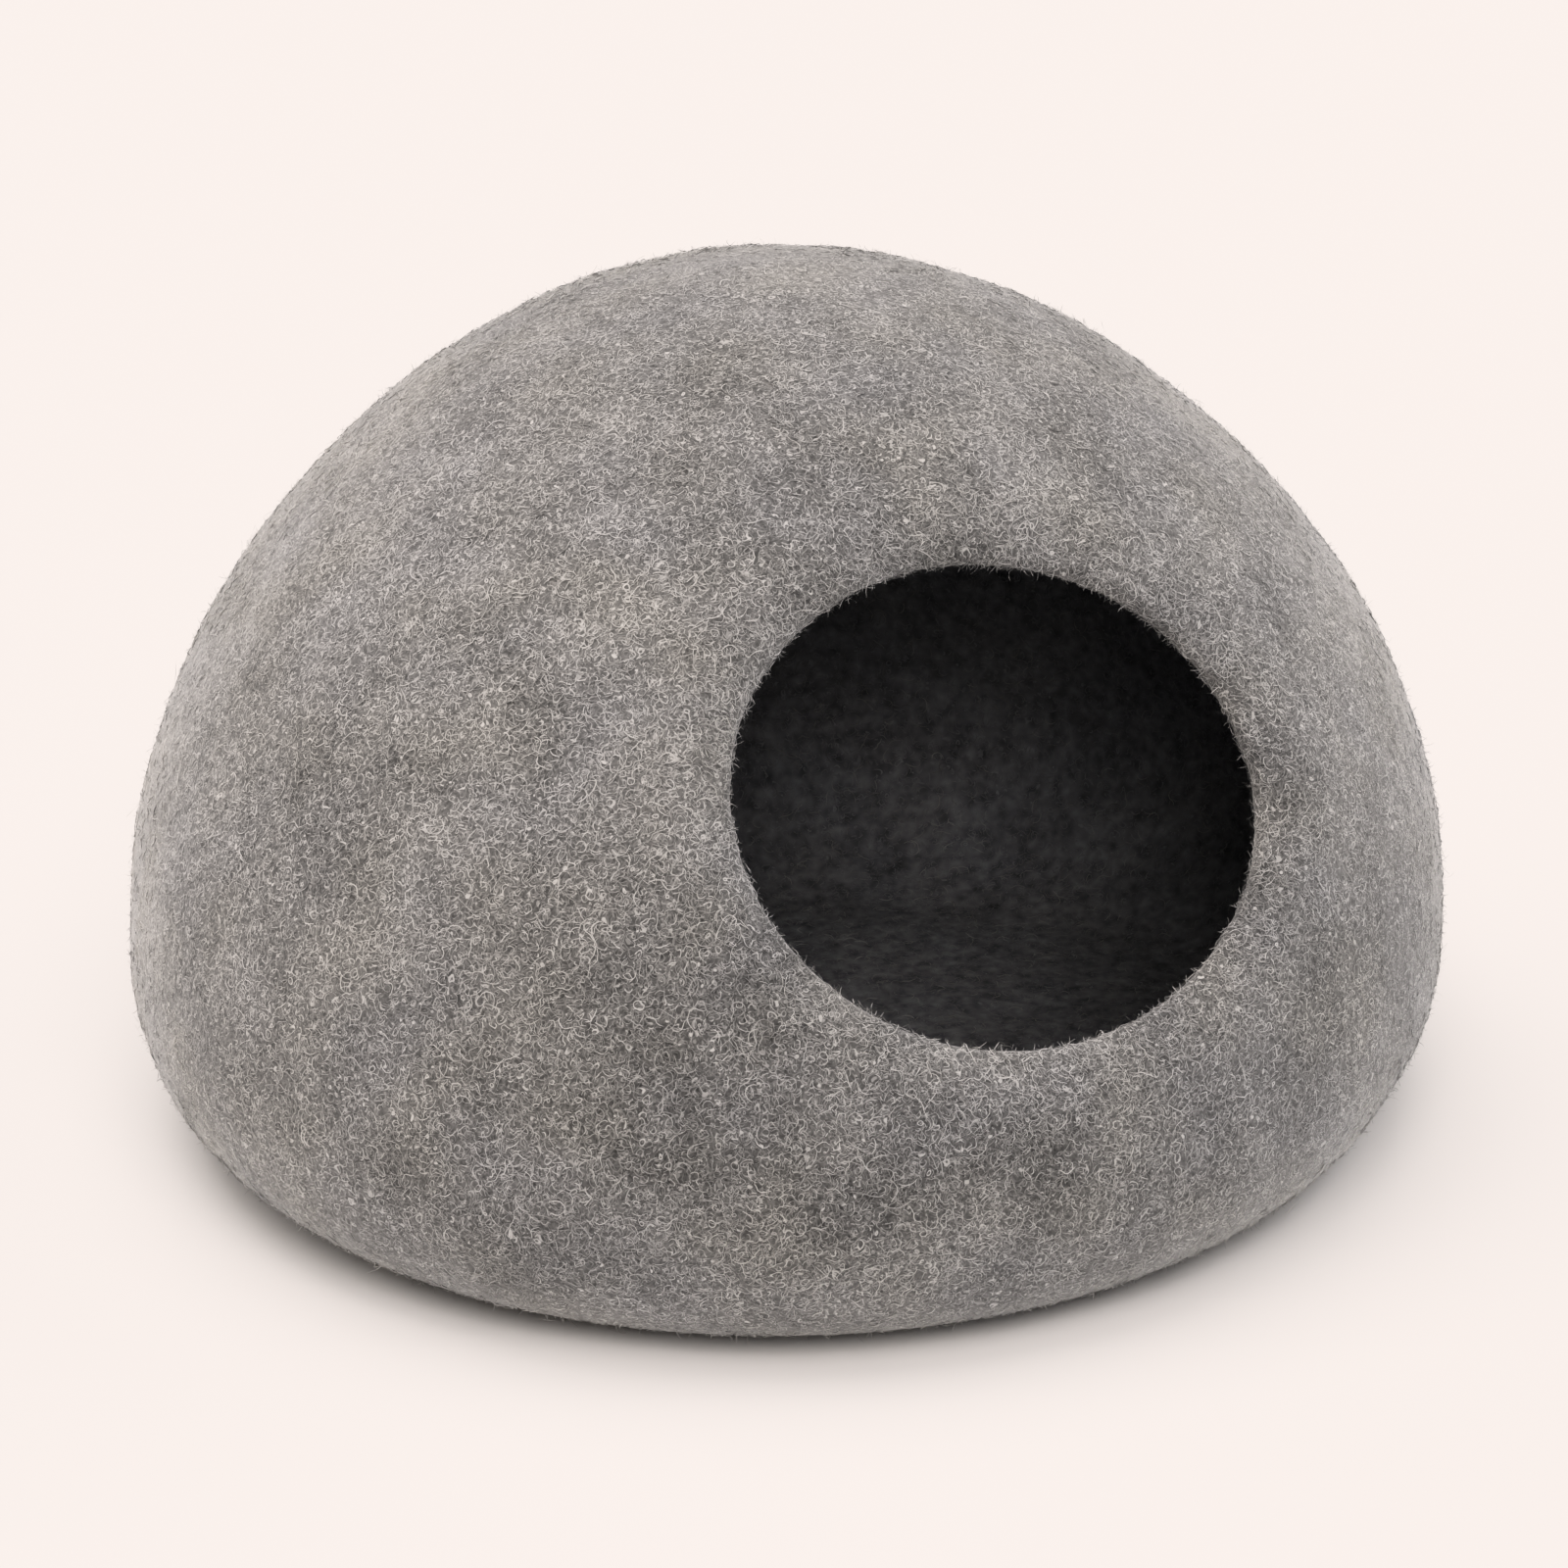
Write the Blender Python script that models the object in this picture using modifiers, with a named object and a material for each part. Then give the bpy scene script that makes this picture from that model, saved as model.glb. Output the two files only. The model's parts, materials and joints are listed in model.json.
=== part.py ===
"""Felt cat cave: one seamless shell of wet-felted wool, with its round mouth facing -Y.

Metres, +Z up, the origin on the floor under the middle of the shell. The shell is one skin of
felt with no seam. It starts as a sphere whose pole is the middle of the mouth. The pole cap is
taken away, each point left is moved onto the dome, and the skin gets the thickness of the felt.
"""

from math import atan2, cos, hypot, pi, radians, sin, sqrt

import bmesh
import bpy
from mathutils import Vector

WIDTH = 0.480  # belly, side to side
DEPTH = 0.460  # belly, front to back
HEIGHT = 0.307
BELLY = 0.0675  # height of the widest line
FOOT = 0.72  # share of the belly that lies flat on the floor
CROWN_DRAW = 0.045  # how far the upper dome is drawn in from a plain ellipse
CROWN_LEAN = (0.012, 0.042)  # how far the crown stands right of and behind the belly
FELT = 0.008  # thickness of the wool

# The shell was shaped by hand over a round form, so it swells and sinks a little as it goes
# round: waves in a turn, their turn with height, share of the radius, and where they start.
SWELLS = ((3, pi / 2, 0.0066, -1.05), (2, pi, 0.0166, 5.81))

MOUTH_WIDTH = 0.185
MOUTH_HEIGHT = 0.163
MOUTH_LEAN = radians(36)  # the mouth looks up by this much
MOUTH_AXIS = Vector((0.0086, 0, 0.055))  # a point that the middle line of the mouth goes through
MOUTH_WANDER = (3, 0.009, 5.96)  # waves round the mouth, share of its size, where they start
LIP_TURN = 0.007  # how far the lip is turned in
LIP_REACH = 0.024  # how far from the edge the turn starts
LIP_ROUND = 0.0038  # radius of the lip's edge, just under half of the felt

AROUND = 60
ALONG = 36
GATHER = 1.35  # above 1 the rings crowd together at the lip
HEART = Vector((0, 0.01, 0.12))  # a point well inside, from which the dome is seen whole
MOUTH_MIDDLE = Vector((0.0086, -0.164, 0.174))
AWAY = (HEART - MOUTH_MIDDLE).normalized()  # from the mouth through the heart to the back

LOOK = Vector((0, -cos(MOUTH_LEAN), sin(MOUTH_LEAN)))  # the way the mouth faces
RISE = Vector((0, sin(MOUTH_LEAN), cos(MOUTH_LEAN)))
SIDE = Vector((1, 0, 0))


def reach(point):
    """How far out a point is, as a share of the dome there: under 1 is inside."""
    if not 0 < point.z < HEIGHT:
        return 9.0
    up = (point.z - BELLY) / (HEIGHT - BELLY)
    if up >= 0:
        radius = sqrt(1 - up * up) * (1 - CROWN_DRAW * up * up)
    else:
        down = 1 - point.z / BELLY
        radius = FOOT + (1 - FOOT) * sqrt(1 - down * down)
    x = (point.x - CROWN_LEAN[0] * up) / (WIDTH / 2)
    y = (point.y - CROWN_LEAN[1] * up) / (DEPTH / 2)
    turn = atan2(y, x)
    swell = sum(size * cos(n * turn + rise * up + start) for n, rise, size, start in SWELLS)
    return hypot(x, y) / (radius * (1 + swell))


def meet(start, way):
    """The point where a line from inside the dome leaves it."""
    near, far = 0.0, 0.6
    for _ in range(40):
        middle = (near + far) / 2
        if reach(start + way * middle) < 1:
            near = middle
        else:
            far = middle
    return start + way * near


def mouth_edge(turn):
    """The point of the mouth's edge at this turn round its middle."""
    waves, size, start = MOUTH_WANDER
    wander = 1 + size * cos(waves * turn + start)
    across = SIDE * (cos(turn) * wander * MOUTH_WIDTH / 2)
    upward = RISE * (sin(turn) * wander * MOUTH_HEIGHT / 2)
    return meet(MOUTH_AXIS + across + upward, LOOK)


def skin_point(turn, ring):
    """The point of the outer skin at this turn, on this ring of the sphere, 0 at the lip."""
    edge = mouth_edge(turn)
    first = (edge - HEART).normalized()
    share = (ring / ALONG) ** GATHER
    way = first.slerp(AWAY, share) if share < 1 else AWAY
    point = meet(HEART, way) if ring else edge
    from_edge = (point - edge).length
    if from_edge < LIP_REACH:
        point = point - LOOK * (LIP_TURN * (1 - from_edge / LIP_REACH) ** 2)
    return point


def outer_skin():
    """The open outer skin: a sphere without its pole cap, moved onto the dome."""
    sphere = bmesh.new()
    bmesh.ops.create_uvsphere(sphere, u_segments=AROUND, v_segments=ALONG + 1, radius=1)
    cap = [v for v in sphere.verts if v.co.z > 0.99999]
    bmesh.ops.delete(sphere, geom=cap, context="VERTS")
    for v in sphere.verts:
        turn = atan2(v.co.y, v.co.x)
        tilt = atan2(hypot(v.co.x, v.co.y), v.co.z)
        v.co = skin_point(turn, round(tilt / pi * (ALONG + 1)) - 1)
    low, high = ([f(v.co[i] for v in sphere.verts) for i in range(3)] for f in (min, max))
    middle = Vector([(a + b) / 2 for a, b in zip(low, high)])
    for v in sphere.verts:
        v.co -= Vector((middle.x, middle.y, low[2]))
    bmesh.ops.recalc_face_normals(sphere, faces=sphere.faces)
    mesh = bpy.data.meshes.new("felt_shell")
    sphere.to_mesh(mesh)
    sphere.free()
    return mesh


def wool(name, colour):
    """Matted wool: no shine."""
    material = bpy.data.materials.new(name)
    material.use_nodes = True
    shader = material.node_tree.nodes["Principled BSDF"]
    shader.inputs["Base Color"].default_value = (*colour, 1)
    shader.inputs["Roughness"].default_value = 0.95
    shader.inputs["Specular IOR Level"].default_value = 0.1
    return material


def main():
    for old in list(bpy.data.objects):
        bpy.data.objects.remove(old)
    cave = bpy.data.collections.new("felt_cat_cave")
    bpy.context.scene.collection.children.link(cave)

    mesh = outer_skin()
    mesh.materials.append(wool("grey_wool_felt", (0.30, 0.29, 0.28)))
    mesh.shade_smooth()
    shell = bpy.data.objects.new("felt_shell", mesh)
    cave.objects.link(shell)

    skin = shell.modifiers.new("felt", "SOLIDIFY")
    skin.thickness = FELT
    skin.offset = -1
    skin.use_even_offset = True
    skin.use_rim = True
    lip = shell.modifiers.new("lip", "BEVEL")
    lip.width = LIP_ROUND
    lip.segments = 3
    lip.limit_method = "ANGLE"
    lip.angle_limit = radians(60)
    lip.use_clamp_overlap = False


main()
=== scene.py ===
"""Felt cat cave: the visual model, its studio and its camera.

The cave is one seamless skin of wet-felted wool. The shell carries the matted surface, and coats
of loose curled wool are grown on it, so that the lip and the outline are as hairy as felt is.
"""

import json
import logging
import math
from dataclasses import dataclass
from enum import Enum

import bmesh
import bpy
import numpy as np
from bpy.types import ID, Material, Mesh, Node, NodeOutputs, NodeSocket, NodeTree, Object
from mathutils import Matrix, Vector, noise

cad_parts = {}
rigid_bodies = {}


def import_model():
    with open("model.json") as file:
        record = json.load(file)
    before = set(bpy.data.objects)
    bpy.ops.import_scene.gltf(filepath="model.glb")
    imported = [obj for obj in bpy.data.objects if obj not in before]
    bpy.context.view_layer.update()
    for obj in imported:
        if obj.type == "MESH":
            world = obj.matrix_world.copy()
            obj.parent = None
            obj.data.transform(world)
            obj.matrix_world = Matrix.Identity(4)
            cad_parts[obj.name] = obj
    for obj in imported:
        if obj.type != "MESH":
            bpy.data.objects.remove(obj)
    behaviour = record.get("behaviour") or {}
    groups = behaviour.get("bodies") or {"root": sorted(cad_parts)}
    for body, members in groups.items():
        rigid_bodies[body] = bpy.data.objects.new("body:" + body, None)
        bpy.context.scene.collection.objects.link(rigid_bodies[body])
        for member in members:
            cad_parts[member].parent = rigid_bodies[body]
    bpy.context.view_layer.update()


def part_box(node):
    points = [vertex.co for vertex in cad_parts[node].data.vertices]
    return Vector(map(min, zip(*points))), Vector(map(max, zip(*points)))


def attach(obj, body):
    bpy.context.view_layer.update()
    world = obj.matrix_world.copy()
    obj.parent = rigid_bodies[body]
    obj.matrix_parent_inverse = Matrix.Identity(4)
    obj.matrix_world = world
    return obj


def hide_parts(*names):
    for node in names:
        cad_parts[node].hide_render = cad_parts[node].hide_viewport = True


LOG = logging.getLogger("felt_cat_cave")
NODE = "felt_shell"
BAKE_MAP = "OFBake"

# What a node's input takes: a plain value, or another node's output.
Value = float | tuple[float, ...] | NodeSocket


class Side(Enum):
    """The two faces of the felt."""

    OUTSIDE = "outside"
    INSIDE = "inside"


# ---- shape


def unit(vectors: np.ndarray) -> np.ndarray:
    """Brings each vector of an array to a length of one."""
    return vectors / np.linalg.norm(vectors, axis=-1, keepdims=True)


@dataclass(frozen=True)
class DomeForm:
    """The form that the felt was shaped over, and the mouth that was cut in it."""

    width: float = 0.480
    depth: float = 0.460
    height: float = 0.307
    belly: float = 0.0675
    foot: float = 0.72
    crown_draw: float = 0.045
    crown_lean: tuple[float, float] = (0.012, 0.042)
    swells: tuple[tuple[float, float, float, float], ...] = (
        (3, math.pi / 2, 0.0066, -1.05),
        (2, math.pi, 0.0166, 5.81),
    )
    felt: float = 0.008
    mouth_width: float = 0.185
    mouth_height: float = 0.163
    mouth_lean: float = math.radians(36)
    mouth_axis: tuple[float, float, float] = (0.0102, 0.0, 0.0558)
    mouth_middle: tuple[float, float, float] = (0.0102, -0.164, 0.174)
    mouth_wander: tuple[float, float, float] = (3, 0.009, 5.96)
    lip_turn: float = 0.007
    lip_reach: float = 0.024
    lip_roll: float = 0.0050
    heart: tuple[float, float, float] = (0.0, 0.01, 0.12)

    @property
    def look(self) -> np.ndarray:
        """The way the mouth faces."""
        return np.array((0.0, -math.cos(self.mouth_lean), math.sin(self.mouth_lean)))

    @property
    def rise(self) -> np.ndarray:
        """The way up in the mouth's own plane."""
        return np.array((0.0, math.sin(self.mouth_lean), math.cos(self.mouth_lean)))

    def reach(self, points: np.ndarray) -> np.ndarray:
        """How far out points are, as a share of the dome there.

        Args:
            points: places, one to a row.

        Returns:
            One number a point, under 1 inside the dome.
        """
        x, y, z = np.moveaxis(points, -1, 0)
        up = (z - self.belly) / (self.height - self.belly)
        upper = np.sqrt(np.clip(1 - up * up, 0, 1)) * (1 - self.crown_draw * up * up)
        down = np.clip(1 - z / self.belly, 0, 1)
        lower = self.foot + (1 - self.foot) * np.sqrt(1 - down * down)
        x = (x - self.crown_lean[0] * up) / (self.width / 2)
        y = (y - self.crown_lean[1] * up) / (self.depth / 2)
        turn = np.arctan2(y, x)
        swell = sum(s * np.cos(n * turn + r * up + start) for n, r, s, start in self.swells)
        radius = np.where(up >= 0, upper, lower) * (1 + swell)
        within = (z > 0) & (z < self.height)
        return np.where(within, np.hypot(x, y) / np.maximum(radius, 1e-9), 9.0)

    def meet(self, start: np.ndarray, way: np.ndarray) -> np.ndarray:
        """Where lines from inside the dome leave it.

        Args:
            start: a point inside for each line, or one for all.
            way: the unit direction of each line.

        Returns:
            One point a line.
        """
        near = np.zeros(way.shape[:-1])
        far = np.full(way.shape[:-1], 0.6)
        for _ in range(36):
            middle = (near + far) / 2
            inside = self.reach(start + way * middle[..., None]) < 1
            near = np.where(inside, middle, near)
            far = np.where(inside, far, middle)
        return start + way * near[..., None]

    def mouth_edge(self, turns: np.ndarray) -> np.ndarray:
        """The mouth's edge before its lip is turned in.

        Args:
            turns: angles round the mouth's middle, in radians.

        Returns:
            One point on the dome an angle.
        """
        waves, size, start = self.mouth_wander
        wander = (1 + size * np.cos(waves * turns + start))[:, None]
        side = np.array((1.0, 0.0, 0.0))
        across = np.cos(turns)[:, None] * side * (self.mouth_width / 2 + self.lip_roll)
        upward = np.sin(turns)[:, None] * self.rise * (self.mouth_height / 2 + self.lip_roll)
        base = np.array(self.mouth_axis) + (across + upward) * wander
        return self.meet(base, np.broadcast_to(self.look, base.shape))

    def skin(self, around: int, along: int, gather: float = 1.35) -> np.ndarray:
        """The outer skin in rings from the lip to the back.

        Args:
            around: points in a ring.
            along: rings after the first.
            gather: above 1, rings crowd together at the lip.

        Returns:
            An array of (ring, turn, place). The last ring is one point repeated.
        """
        heart = np.array(self.heart)
        edge = self.mouth_edge(np.linspace(0, 2 * np.pi, around, endpoint=False))
        first = unit(edge - heart)
        away = unit(heart - np.array(self.mouth_middle))
        angle = np.arccos(np.clip(first @ away, -1, 1))[None, :, None]
        share = (np.arange(along + 1) / along)[:, None, None] ** gather
        way = np.sin((1 - share) * angle) * first + np.sin(share * angle) * away
        way /= np.sin(angle)
        rings = self.meet(heart, way)
        rings[0] = edge
        gap = np.linalg.norm(rings - edge, axis=2, keepdims=True)
        turned = np.clip(1 - gap / self.lip_reach, 0, 1) ** 2
        return rings - self.look * self.lip_turn * turned


@dataclass(frozen=True)
class Lumps:
    """One size of the unevenness that hand felting leaves."""

    per_metre: float
    height: float
    shift: tuple[float, float, float] = (0.0, 0.0, 0.0)

    def rise(self, place: Vector) -> float:
        """How far the skin stands proud or sunk at a place, in metres."""
        return self.height * noise.noise(place * self.per_metre + Vector(self.shift))


@dataclass(frozen=True)
class PaintedLightPatch:
    """A broad patch of painted shade (light below 0) or painted light (light above 0) on the wool,
    and how much lighter it is there.
    """

    middle: tuple[float, float, float]
    reach: float
    light: float

    def lightens(self, place: Vector) -> float:
        """How much it lightens the wool at a place."""
        away = (place - Vector(self.middle)).length / self.reach
        return self.light * math.exp(-away * away)


@dataclass(frozen=True)
class WoolLaying:
    """How unevenly the wools were blended and laid on the form, with broad patches of painted
    shade and painted light.
    """

    flecks_per_metre: float = 34.0
    fleck_strength: float = 0.99
    clouds_per_metre: float = 11.0
    cloud_strength: float = 0.55
    tints_per_metre: float = 27.0
    tint_shift: tuple[float, float, float] = (31.0, 5.0, 12.0)
    tint_strength: float = 1.6
    # Painted shade on the left flank, the lower front and the lower right, and painted light high
    # on the upper left.
    painted_light_patches: tuple[PaintedLightPatch, ...] = (
        PaintedLightPatch((-0.235, -0.030, 0.166), 0.060, -0.70),
        PaintedLightPatch((-0.148, -0.181, 0.105), 0.060, -0.40),
        PaintedLightPatch((0.140, -0.175, 0.128), 0.050, -0.35),
        PaintedLightPatch((-0.120, -0.060, 0.255), 0.060, 0.25),
    )

    def at(self, place: Vector) -> tuple[float, float]:
        """How the wool looks at a place, with the patches' painted shade and light.

        Args:
            place: a point on the felt.

        Returns:
            How light and how warm it is, each from about -1 to 1.
        """
        light = self.fleck_strength * noise.fractal(place * self.flecks_per_metre, 0.8, 2.1, 3)
        light += self.cloud_strength * noise.noise(place * self.clouds_per_metre)
        # Painted shade and painted light from the broad patches.
        light += sum(light_patch.lightens(place) for light_patch in self.painted_light_patches)
        tint = place * self.tints_per_metre + Vector(self.tint_shift)
        return light, self.tint_strength * noise.fractal(tint, 0.9, 2.0, 2)

    def mark(self, mesh: Mesh) -> None:
        """Writes how light and warm the wool is, painted shade and light included, for the felt
        and for its loose wool.

        Args:
            mesh: the mesh whose points are marked with flecks, painted shade and painted light.
        """
        mark = mesh.attributes.new("fleck", "FLOAT_VECTOR", "POINT")
        found = [self.at(v.co) for v in mesh.vertices]
        mark.data.foreach_set("vector", [n for light, warm in found for n in (light, warm, 0.0)])


# ---- node trees


class Tree:
    """A node tree under construction."""

    def __init__(self, tree: NodeTree) -> None:
        """Starts on an existing tree."""
        self.tree = tree

    def add(
        self, kind: str, inputs: dict[int | str, Value] | None = None, **settings: object
    ) -> Node:
        """Adds a node.

        Args:
            kind: the node's class name.
            inputs: input name or number to a value, or to an output to link.
            settings: the node's own properties.

        Returns:
            The node.
        """
        node = self.tree.nodes.new(kind)
        for name, value in settings.items():
            setattr(node, name, value)
        return self.feed(node, inputs or {})

    def feed(self, node: Node, inputs: dict[int | str, Value]) -> Node:
        """Gives a node its inputs.

        Args:
            node: the node.
            inputs: input name or number to a value, or to an output to link.

        Returns:
            The same node.
        """
        for key, value in inputs.items():
            if isinstance(value, NodeSocket):
                self.tree.links.new(value, node.inputs[key])
            else:
                node.inputs[key].default_value = value
        return node

    def math(self, operation: str, *values: Value) -> NodeSocket:
        """Adds a Math node on these values or outputs, and returns its output."""
        node = self.add("ShaderNodeMath", dict(enumerate(values)), operation=operation)
        return node.outputs[0]

    def vector(self, operation: str, *values: Value) -> Node:
        """Adds a Vector Math node on these values or outputs, and returns it."""
        return self.add("ShaderNodeVectorMath", dict(enumerate(values)), operation=operation)

    def blend(self, share: Value, low: Value, high: Value, **settings: object) -> NodeSocket:
        """Adds a colour Mix node.

        Args:
            share: how much of the high colour is taken.
            low: the colour at 0.
            high: the colour at 1.
            settings: the node's own properties.

        Returns:
            Its colour output.
        """
        node = self.add("ShaderNodeMix", {0: share, 6: low, 7: high}, data_type="RGBA", **settings)
        return node.outputs[2]

    def ramp(self, value: Value, low: float, high: float, smooth: bool = False) -> NodeSocket:
        """Adds a Map Range node.

        Args:
            value: what is mapped.
            low: what becomes 0.
            high: what becomes 1.
            smooth: whether the ramp eases in and out.

        Returns:
            Its output, from 0 to 1.
        """
        node = self.add(
            "ShaderNodeMapRange",
            {"Value": value, "From Min": low, "From Max": high},
            interpolation_type="SMOOTHSTEP" if smooth else "LINEAR",
        )
        return node.outputs["Result"]


def group(
    name: str, inputs: dict[str, float | tuple[float, ...]], outputs: dict[str, str]
) -> tuple[Tree, NodeOutputs, Node]:
    """Starts a shader node group.

    Args:
        name: the group's name.
        inputs: input name to its default: a number, or a tuple for a vector or a colour.
        outputs: output name to its kind: Float, Vector or Color.

    Returns:
        The tree, what its Group Input node puts out, and its Group Output node.
    """
    made = bpy.data.node_groups.new(name, "ShaderNodeTree")
    for label, default in inputs.items():
        size = len(default) if isinstance(default, tuple) else 1
        kind = {1: "NodeSocketFloat", 3: "NodeSocketVector", 4: "NodeSocketColor"}[size]
        socket = made.interface.new_socket(label, in_out="INPUT", socket_type=kind)
        socket.default_value = default
    for label, kind in outputs.items():
        made.interface.new_socket(label, in_out="OUTPUT", socket_type=f"NodeSocket{kind}")
    tree = Tree(made)
    return tree, tree.add("NodeGroupInput").outputs, tree.add("NodeGroupOutput")


def wander_group() -> NodeTree:
    """Bends places to and fro, so that what is drawn on them is crimped.

    Returns:
        A group that puts out the bent place.
    """
    tree, given, result = group(
        "crimp",
        {"Place": (0.0, 0.0, 0.0), "Bends per metre": 330.0, "Reach": 0.0022},
        {"Place": "Vector"},
    )
    place = given["Place"]
    field = tree.add(
        "ShaderNodeTexNoise",
        {"Vector": place, "Scale": given["Bends per metre"], "Detail": 0.0},
    )
    off = tree.vector("SUBTRACT", field.outputs["Color"], (0.5, 0.5, 0.5))
    off = tree.vector("SCALE", off.outputs[0])
    tree.feed(off, {"Scale": given["Reach"]})
    moved = tree.vector("ADD", place, off.outputs[0])
    tree.feed(result, {"Place": moved.outputs[0]})
    return tree.tree


def curled_lines(
    tree: Tree, place: NodeSocket, given: NodeOutputs
) -> tuple[NodeSocket, NodeSocket, NodeSocket]:
    """Draws arcs round scattered dots.

    Args:
        tree: the group under construction.
        place: where it is drawn.
        given: what the group is given.

    Returns:
        How far off a strand's middle this is, the strand's own number, and whether it shows.
    """
    arcs = 2.3
    end_fade = 3.0
    field = tree.add(
        "ShaderNodeTexVoronoi",
        {"Vector": place, "Scale": given["Strands per metre"]},
        feature="F1",
    )
    own = tree.add("ShaderNodeSeparateXYZ", {0: field.outputs["Color"]}).outputs[0]
    turns = tree.math("MULTIPLY_ADD", field.outputs["Distance"], arcs, own)
    off = tree.math("SUBTRACT", tree.math("FRACT", turns), 0.5)
    off = tree.math("DIVIDE", off, arcs)
    arm = tree.vector("SUBTRACT", place, field.outputs["Position"])
    arm = tree.vector("NORMALIZE", arm.outputs[0])
    opening = tree.vector("SUBTRACT", field.outputs["Color"], (0.5, 0.5, 0.5))
    opening = tree.vector("NORMALIZE", opening.outputs[0])
    round_to = tree.vector("DOT_PRODUCT", arm.outputs[0], opening.outputs[0]).outputs["Value"]
    shown = tree.math("ADD", round_to, given["Cover"])
    return off, own, tree.math("MULTIPLY", shown, end_fade)


def wandering_lines(
    tree: Tree, place: NodeSocket, given: NodeOutputs
) -> tuple[NodeSocket, NodeSocket, NodeSocket]:
    """Draws the level lines of a slow noise.

    Args:
        tree: the group under construction.
        place: where it is drawn.
        given: what the group is given.

    Returns:
        How far off a strand's middle this is, the strand's own number, and whether it shows.
    """
    levels = 5.0
    end_fade = 8.0
    field = tree.add(
        "ShaderNodeTexNoise",
        {"Vector": place, "Scale": given["Strands per metre"], "Detail": 0.0},
    )
    channels = tree.add("ShaderNodeSeparateXYZ", {0: field.outputs["Color"]})
    steps = tree.math("MULTIPLY", channels.outputs[0], levels)
    off = tree.math("SUBTRACT", tree.math("FRACT", steps), 0.5)
    off = tree.math("DIVIDE", off, levels)
    patch = tree.math("SUBTRACT", channels.outputs[2], 0.5)
    shown = tree.math("MULTIPLY_ADD", patch, end_fade, given["Cover"])
    return off, channels.outputs[1], shown


def strands_group(curled: bool) -> NodeTree:
    """One layer of wool strands laid over what is under it.

    Args:
        curled: whether the strands curl into loops, or wander.

    Returns:
        A group that puts out how light the wool is and how high it stands, from 0 to 1.
    """
    strand_spread = 0.28
    edge_shade_width = 0.6
    tree, given, result = group(
        "curled_strands" if curled else "wandering_strands",
        {
            "Place": (0.0, 0.0, 0.0),
            "Shift": (0.0, 0.0, 0.0),
            "Strands per metre": 300.0,
            "Thickness": 0.05,
            "Cover": 0.6,
            "Strand light": 0.7,
            "Light under": 0.3,
            "Height under": 0.0,
            "Step": 0.3,
        },
        {"Light": "Float", "Height": "Float"},
    )
    place = tree.vector("ADD", given["Place"], given["Shift"]).outputs[0]
    draw = curled_lines if curled else wandering_lines
    off, own, shown = draw(tree, place, given)
    line = tree.math("DIVIDE", tree.math("ABSOLUTE", off), given["Thickness"])
    line = tree.math("SUBTRACT", 1.0, tree.math("MINIMUM", line, 1.0))
    # Toward its edges a strand fades into what lies under it, mostly darker wool: painted shade
    # that rounds the strand.
    body = tree.ramp(line, 0.0, edge_shade_width, smooth=True)
    shown = tree.add("ShaderNodeClamp", {"Value": shown}).outputs[0]
    mask = tree.math("MULTIPLY", body, shown)
    light = tree.math("MULTIPLY_ADD", own, strand_spread, given["Strand light"])
    light = tree.math("SUBTRACT", light, strand_spread / 2)
    light = tree.math("SUBTRACT", light, given["Light under"])
    light = tree.math("MULTIPLY_ADD", light, mask, given["Light under"])
    rise = tree.math("MULTIPLY", tree.math("SQRT", line), shown)
    rise = tree.math("MULTIPLY", rise, given["Step"])
    rise = tree.math("ADD", rise, given["Height under"])
    tree.feed(result, {"Light": light, "Height": rise})
    return tree.tree


def blend_group() -> NodeTree:
    """The colour of blended wool from how light and how warm it is.

    Returns:
        A group that puts out the colour.
    """
    tree, given, result = group(
        "blended_wool",
        {
            "Light": 0.5,
            "Warm": 0.0,
            "Deep": (0.10, 0.10, 0.10, 1.0),
            "Middle": (0.28, 0.27, 0.26, 1.0),
            "Pale": (0.62, 0.60, 0.58, 1.0),
            "Cool tint": (0.94, 0.99, 1.04, 1.0),
            "Warm tint": (1.05, 0.99, 0.94, 1.0),
        },
        {"Color": "Color"},
    )
    light = given["Light"]
    low = tree.blend(tree.ramp(light, 0.0, 0.5), given["Deep"], given["Middle"])
    both = tree.blend(tree.ramp(light, 0.5, 1.0), low, given["Pale"])
    warm = tree.ramp(given["Warm"], -1.0, 1.0)
    tint = tree.blend(warm, given["Cool tint"], given["Warm tint"])
    tree.feed(result, {"Color": tree.blend(1.0, both, tint, blend_type="MULTIPLY")})
    return tree.tree


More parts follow.
